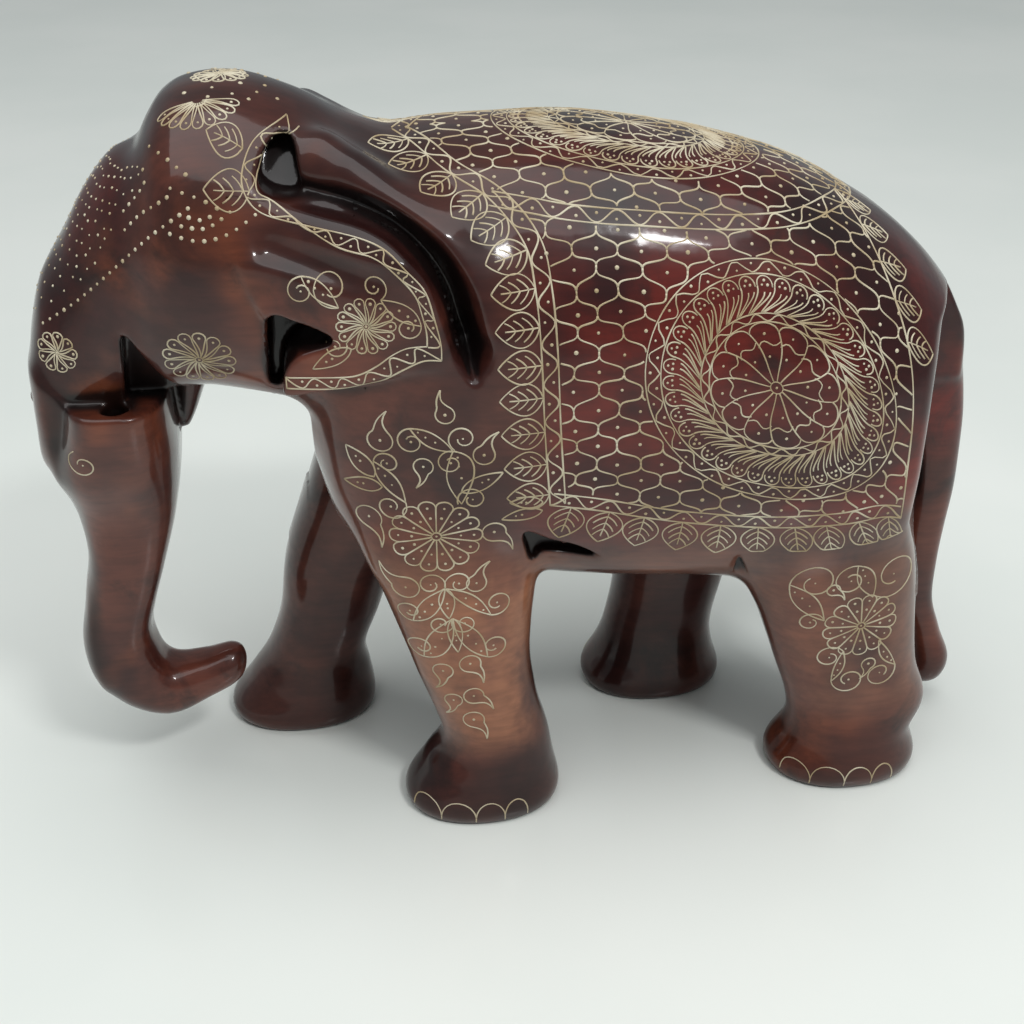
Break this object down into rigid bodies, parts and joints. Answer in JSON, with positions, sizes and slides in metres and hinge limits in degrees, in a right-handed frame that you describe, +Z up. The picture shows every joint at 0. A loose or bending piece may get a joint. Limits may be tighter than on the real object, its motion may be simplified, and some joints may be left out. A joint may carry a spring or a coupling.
{
  "type": "carved elephant figurine",
  "caption": "Carved, stained and lacquered wooden elephant in a walking stance, with trunk curled at the tip, empty tusk sockets and fine raised painted line patterns.",
  "frame": {"origin": "on the floor plane, under the middle of the figure's length and width", "axes": "+Z up, +X along the body towards the tail (the head faces -X), +Y towards the elephant's right side"},
  "size_m": [0.2901, 0.1082, 0.2258],
  "materials": {
    "stained_wood": "dark red-brown stain under gloss lacquer, with cream raised line painting",
    "plain_wood": "plain turned hardwood, hidden in the joints"
  },
  "bodies": {
    "root": {"torso_block": "stained_wood", "head_block": "stained_wood", "trunk_block": "stained_wood", "lower_jaw": "stained_wood", "left_ear": "stained_wood", "right_ear": "stained_wood", "front_left_leg": "stained_wood", "front_right_leg": "stained_wood", "hind_left_leg": "stained_wood", "hind_right_leg": "stained_wood", "tail_block": "stained_wood", "front_left_dowel": "plain_wood", "front_right_dowel": "plain_wood", "hind_left_dowel": "plain_wood", "hind_right_dowel": "plain_wood", "neck_dowel_left": "plain_wood", "neck_dowel_right": "plain_wood", "trunk_dowel": "plain_wood", "jaw_pin": "plain_wood", "left_ear_dowel": "plain_wood", "right_ear_dowel": "plain_wood", "tail_dowel": "plain_wood"}
  },
  "joints": []
}
